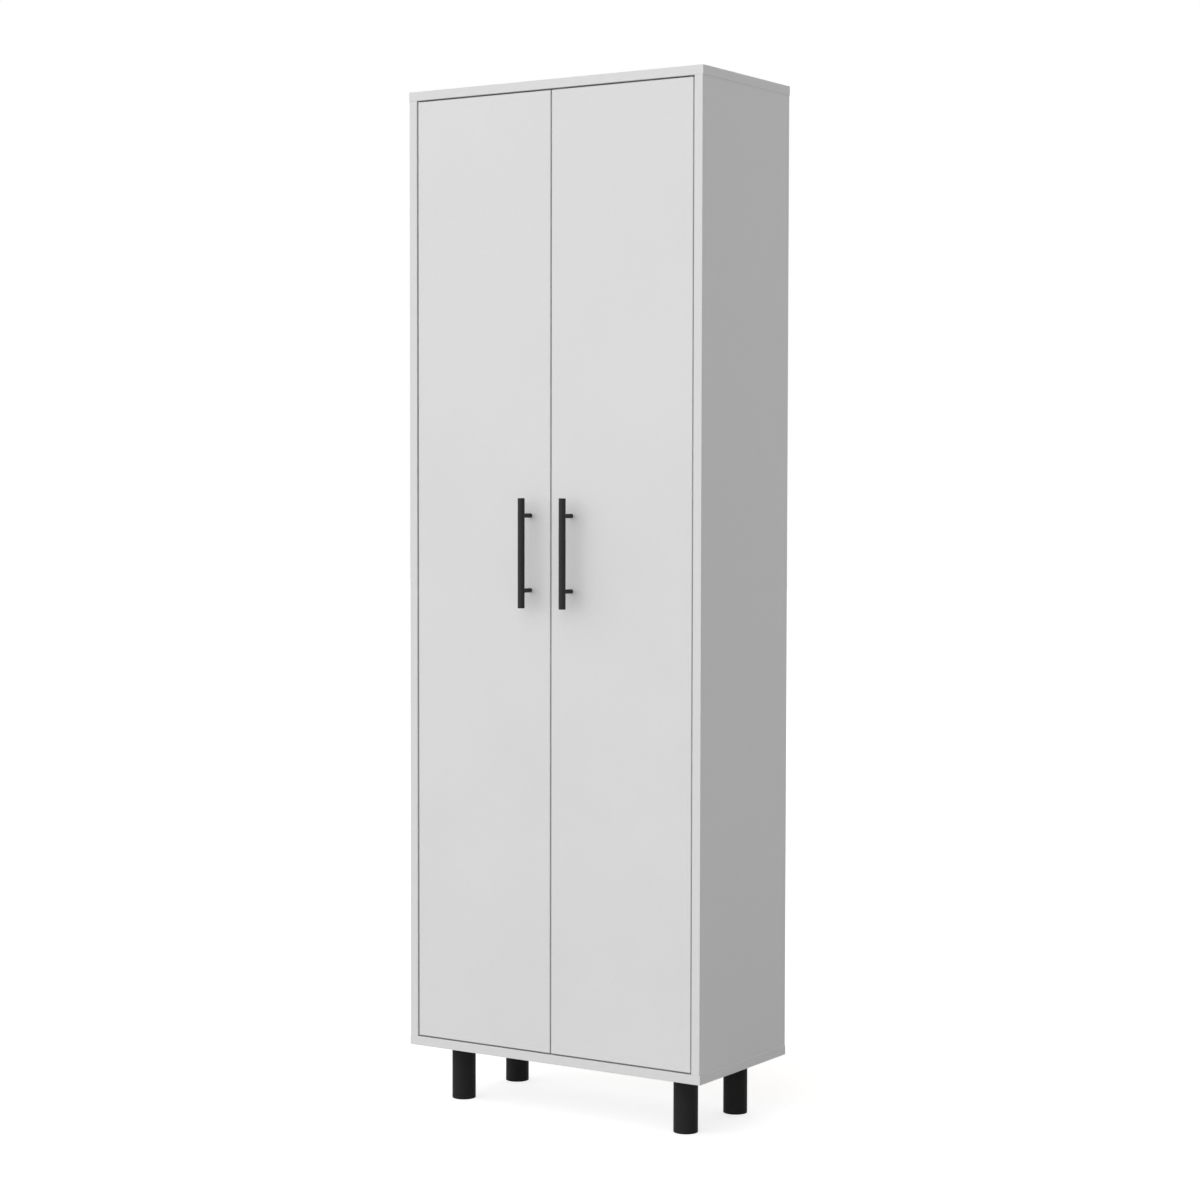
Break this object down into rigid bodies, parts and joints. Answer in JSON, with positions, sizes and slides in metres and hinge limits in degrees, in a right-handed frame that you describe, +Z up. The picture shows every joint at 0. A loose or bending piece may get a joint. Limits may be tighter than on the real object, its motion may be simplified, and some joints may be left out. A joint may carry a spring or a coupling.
{
  "type": "pantry cabinet",
  "caption": "Tall narrow white pantry cabinet with a pair of inset doors, black bar handles, shelves inside and round black legs.",
  "frame": {"origin": "on the floor, at the middle of the footprint with the handles counted in", "axes": "+X to the right of someone facing the doors, +Y from the doors to the back, +Z up"},
  "size_m": [0.6, 0.325, 1.782],
  "materials": {
    "white_melamine_board": "satin white melamine on particle board",
    "hardboard_back": "thin hardboard, white lacquer on the inside face",
    "black_leg_plastic": "fine matt moulded black plastic",
    "black_fitting_plastic": "moulded black plastic",
    "glide_plastic": "plain dark glide",
    "black_handle_steel": "satin black powder coat",
    "white_fitting_plastic": "white moulded plastic",
    "beech_dowel": "bare beech",
    "magnet_ferrite": "dark ferrite",
    "zinc_casting": "dull cast zinc",
    "nickel_steel": "nickel plated pressed steel",
    "zinc_plated_steel": "zinc plated steel"
  },
  "bodies": {
    "carcass": {"adjustable_shelf_1": "white_melamine_board", "adjustable_shelf_2": "white_melamine_board", "adjustable_shelf_3": "white_melamine_board", "adjustable_shelf_4": "white_melamine_board", "back_nails": "zinc_plated_steel", "bottom_panel": "white_melamine_board", "cam_bolts": "zinc_plated_steel", "cam_caps": "white_fitting_plastic", "cam_locks": "zinc_casting", "catch_magnets": "magnet_ferrite", "catch_screws": "zinc_plated_steel", "dowels": "beech_dowel", "fixed_shelf": "white_melamine_board", "hinge_arm_screws": "nickel_steel", "hinge_plate_screws": "zinc_plated_steel", "left_bottom_hinge_arm": "nickel_steel", "left_front_leg": "black_leg_plastic", "left_front_leg_plate": "black_fitting_plastic", "left_hinge_plates": "nickel_steel", "left_middle_hinge_arm": "nickel_steel", "left_rear_leg": "black_leg_plastic", "left_rear_leg_plate": "black_fitting_plastic", "left_side_panel": "white_melamine_board", "left_top_hinge_arm": "nickel_steel", "leg_glides": "glide_plastic", "leg_screws": "zinc_plated_steel", "lower_back_panel": "hardboard_back", "magnetic_catches": "white_fitting_plastic", "right_bottom_hinge_arm": "nickel_steel", "right_front_leg": "black_leg_plastic", "right_front_leg_plate": "black_fitting_plastic", "right_hinge_plates": "nickel_steel", "right_middle_hinge_arm": "nickel_steel", "right_rear_leg": "black_leg_plastic", "right_rear_leg_plate": "black_fitting_plastic", "right_side_panel": "white_melamine_board", "right_top_hinge_arm": "nickel_steel", "shelf_pins": "nickel_steel", "top_panel": "white_melamine_board", "upper_back_panel": "hardboard_back", "wall_bracket_screws": "zinc_plated_steel", "wall_brackets": "zinc_plated_steel"},
    "left_door": {"left_cup_screws": "zinc_plated_steel", "left_door": "white_melamine_board", "left_handle_bar": "black_handle_steel", "left_handle_posts": "black_handle_steel", "left_handle_screws": "zinc_plated_steel", "left_hinge_cups": "nickel_steel", "left_hinge_pins": "zinc_plated_steel", "left_strike_plates": "zinc_plated_steel"},
    "right_door": {"right_cup_screws": "zinc_plated_steel", "right_door": "white_melamine_board", "right_handle_bar": "black_handle_steel", "right_handle_posts": "black_handle_steel", "right_handle_screws": "zinc_plated_steel", "right_hinge_cups": "nickel_steel", "right_hinge_pins": "zinc_plated_steel", "right_strike_plates": "zinc_plated_steel"}
  },
  "joints": [
    {"name": "left_door_hinge", "type": "hinge", "parent": "carcass", "child": "left_door", "pos_m": [-0.267, -0.1213, 0.941], "axis": [0, 0, -1], "range_deg": [0, 100]},
    {"name": "right_door_hinge", "type": "hinge", "parent": "carcass", "child": "right_door", "pos_m": [0.267, -0.1213, 0.941], "axis": [0, 0, 1], "range_deg": [0, 100]}
  ]
}
